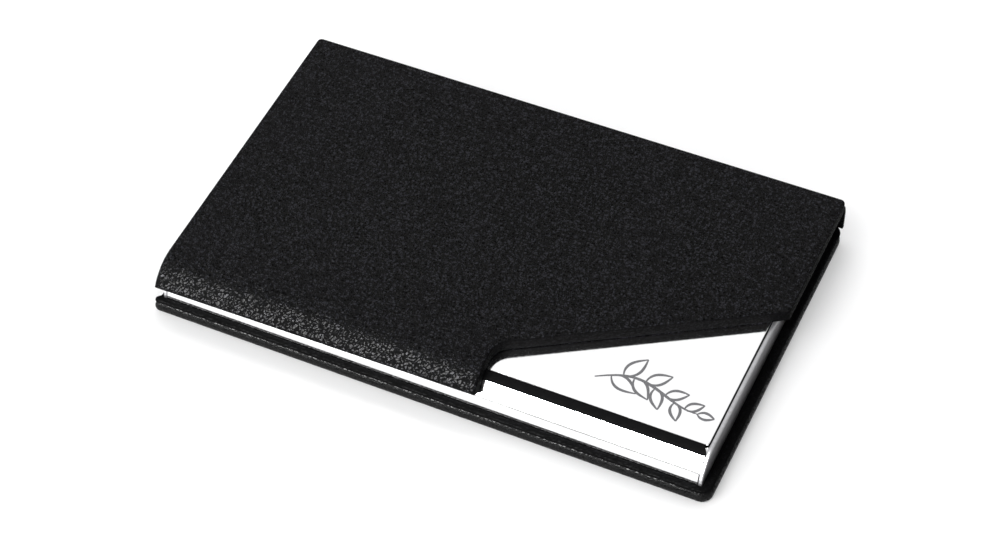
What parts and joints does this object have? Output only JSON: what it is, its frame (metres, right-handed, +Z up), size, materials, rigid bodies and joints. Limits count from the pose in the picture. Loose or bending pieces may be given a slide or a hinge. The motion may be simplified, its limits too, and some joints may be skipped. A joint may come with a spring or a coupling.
{
  "type": "business card case",
  "caption": "Slim rigid card case: folded steel tray on a leather-covered base, closed by a hinged steel lid under a leather flap with a curved magnetic front lip and a slanted corner cut-out.",
  "frame": {"origin": "on the surface it rests on, under the centre of the closed case", "axes": "+X along the case towards its right end, seen from the front with the lip; +Y towards the spine; +Z up"},
  "size_m": [0.0954, 0.057, 0.0095],
  "materials": {
    "black_leather": "fine cross grain, low sheen",
    "polished_steel": "mirror polished stainless steel",
    "satin_steel": "satin",
    "magnet_rubber": "matt",
    "grey_board": "matt greyboard",
    "black_lining": "matt microfibre",
    "core_foam": "matt filler"
  },
  "bodies": {
    "tray": {"base_cover": "black_leather", "base_board": "grey_board", "base_lining": "black_leather", "tray_shell": "polished_steel", "cheek_left": "polished_steel", "cheek_right": "polished_steel", "magnet_strip": "magnet_rubber", "spine_cover": "black_leather"},
    "lid": {"lid_plate": "polished_steel", "flap_cover": "black_leather", "flap_board": "grey_board", "flap_lining": "black_lining", "lip_keeper": "satin_steel", "lip_core": "core_foam"}
  },
  "joints": [
    {"name": "lid_hinge", "type": "hinge", "parent": "tray", "child": "lid", "pos_m": [0.0002, 0.0278, 0.0071], "axis": [-1, 0, 0], "range_deg": [0, 120], "deforming": ["spine_cover"]}
  ]
}
